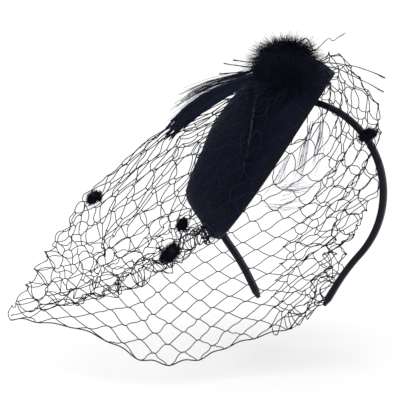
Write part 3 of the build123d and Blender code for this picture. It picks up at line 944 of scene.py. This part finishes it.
def make_dots():
    """Chenille dots on the net: a dense core with pile standing out of it."""
    for number, (place, across, along, tilt) in enumerate(DOTS, 1):
        place = on_net(np.array(place))
        angle = math.radians(tilt)
        long_way = UP * math.cos(angle) + RIGHT * math.sin(angle)
        short_way = np.cross(BACK, long_way)
        core, core_faces = ball(np.zeros(3), (across * 0.55, along * 0.62, across * 0.55), 20, 12, 0.4)
        ways = unit_rows(np.repeat(directions(70), 22, axis=0) + rng.normal(scale=0.17, size=(1540, 3)))
        reach = np.repeat(rng.uniform(0.78, 1.2, 70), 22)[:, None] * rng.uniform(0.8, 1.0, (1540, 1))
        roots = ways * np.array([across, along, across]) * 0.35
        heads = ways * np.array([across, along, across]) * reach
        pile, pile_faces = strands(roots, heads, 0.12, 0.16, 4)
        verts, faces = joined([(core, core_faces), (pile, pile_faces)])
        verts = verts[:, :1] * short_way + verts[:, 1:2] * long_way + verts[:, 2:] * BACK + place
        dot = make_mesh(f"pile_dot_{number}", verts, faces, CHENILLE)
        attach(dot, "hat")
        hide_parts(f"chenille_dot_{number}")


def make_gather_stitch():
    """Thread wound round the bunched net, with two tails."""
    turn = np.linspace(0, 5 * 2 * math.pi, 90)
    axis = unit([0.3, -0.7, 0.6])
    first = unit(np.cross(axis, [0, 0, 1]))
    second = np.cross(axis, first)
    line = (GATHER + np.outer(np.cos(turn) * 2.4, first) + np.outer(np.sin(turn) * 2.4, second)
            + np.outer(np.linspace(-1.6, 1.6, 90), axis))
    parts = [tubes(line[None], 0.3, 6), ball(GATHER, (2.2, 2.2, 2.2), 16, 10, 0.3)]
    for way in ((0.4, -0.5, -1.0), (-0.5, -0.4, -1.0)):
        wave = np.sin(np.linspace(0, 5, 10))[:, None] * 0.5
        tail = GATHER + np.outer(np.linspace(2, 9, 10), unit(way)) + wave
        parts.append(tubes(tail[None], 0.22, 5))
    verts, faces = joined(parts)
    stitch = make_mesh("gather_thread", verts, faces, THREAD)
    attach(stitch, "hat")
    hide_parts("gather_stitch")


CLIP_ANGLE = 145.0          # where on the band's arc the clip grips
BAND_RADIUS = 63.8
PIVOT_BACK = 14.0           # hinge pin behind the middle of the band


def make_spring():
    """The clip's spring: a coil round the hinge pin with a leg to each jaw."""
    angle = math.radians(CLIP_ANGLE)
    out = np.array([math.cos(angle), 0, math.sin(angle)])
    axis = np.array([math.sin(angle), 0, -math.cos(angle)])
    forward = np.array([0, -1.0, 0])
    pivot = out * BAND_RADIUS - forward * PIVOT_BACK
    turn = np.linspace(0, 4 * 2 * math.pi, 120)
    coil = (pivot + np.outer(np.cos(turn) * 1.2, forward) + np.outer(np.sin(turn) * 1.2, out)
            + np.outer(np.linspace(-1.1, 1.1, 120), axis))
    legs = []
    for end, way in ((coil[0], 1.0), (coil[-1], -1.0)):
        foot = pivot + forward * 5.0 + out * 1.9 * way + axis * (end - pivot) @ axis
        legs.append(np.linspace(end, foot, 10))
    verts, faces = joined([tubes(coil[None], 0.28, 6)] + [tubes(leg[None], 0.28, 6) for leg in legs])
    spring = make_mesh("spring_coil", verts, faces, WIRE)
    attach(spring, "hat")
    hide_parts("clip_spring")


make_dots()
make_gather_stitch()
make_spring()


# ---------------------------------------------------------------- carried-over CAD nodes
def paint(material, *nodes):
    """Give CAD nodes that stay in view their material."""
    for name in nodes:
        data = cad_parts[name].data
        data.materials.clear()
        data.materials.append(material)


paint(SATIN, "headband_ribbon")
paint(CORE, "headband_core")
paint(TIP, "headband_tip_left", "headband_tip_right")
paint(STEEL, "clip_fixed_jaw", "clip_lever_jaw", "clip_pin")
paint(FELT, "clip_tab", "trim_backing")
paint(THREAD, "clip_stitches")


# ---------------------------------------------------------------- floor and light
FLOOR_GAP = 0.012           # metres from the object's lowest point down to the floor


def make_stage():
    """Pale floor, white world and three soft lights."""
    floor_level = CAD_BOX[0][2] - FLOOR_GAP
    material, tree, shader = new_material("floor_white")
    spots = add(tree, "ShaderNodeTexNoise", Scale=3.0, Detail=3.0)
    ramp = add(tree, "ShaderNodeValToRGB")
    ramp.color_ramp.elements[0].color = (0.96, 0.96, 0.963, 1)
    ramp.color_ramp.elements[1].color = (0.98, 0.98, 0.98, 1)
    tree.links.new(spots.outputs["Fac"], ramp.inputs["Fac"])
    tree.links.new(ramp.outputs["Color"], shader.inputs["Base Color"])
    shader.inputs["Roughness"].default_value = 0.9
    half = 6.0
    data = bpy.data.meshes.new("floor")
    data.from_pydata([(-half, -half, floor_level), (half, -half, floor_level), (half, half, floor_level),
                      (-half, half, floor_level)], [], [(0, 1, 2, 3)])
    data.materials.append(material)
    floor = bpy.data.objects.new("floor", data)
    bpy.context.collection.objects.link(floor)
    world = bpy.data.worlds.new("soft_white")
    world.use_nodes = True
    world.node_tree.nodes["Background"].inputs["Color"].default_value = (1, 1, 1, 1)
    world.node_tree.nodes["Background"].inputs["Strength"].default_value = 1.05
    bpy.context.scene.world = world
    for name, place, size, power in (
        ("key", BACK * 600 + RIGHT * 350 + UP * 600, 400, 1.1),
        ("left", BACK * 500 - RIGHT * 600 + UP * 300, 400, 0.5),
        ("rim", -BACK * 500 + UP * 600 - RIGHT * 200, 400, 0.4),
    ):
        light = bpy.data.lights.new(name, "AREA")
        light.size = size * MM
        light.energy = power
        lamp = bpy.data.objects.new(name, light)
        bpy.context.collection.objects.link(lamp)
        lamp.location = Vector(place * MM)
        lamp.rotation_euler = Vector(place).to_track_quat("Z", "Y").to_euler()


make_stage()
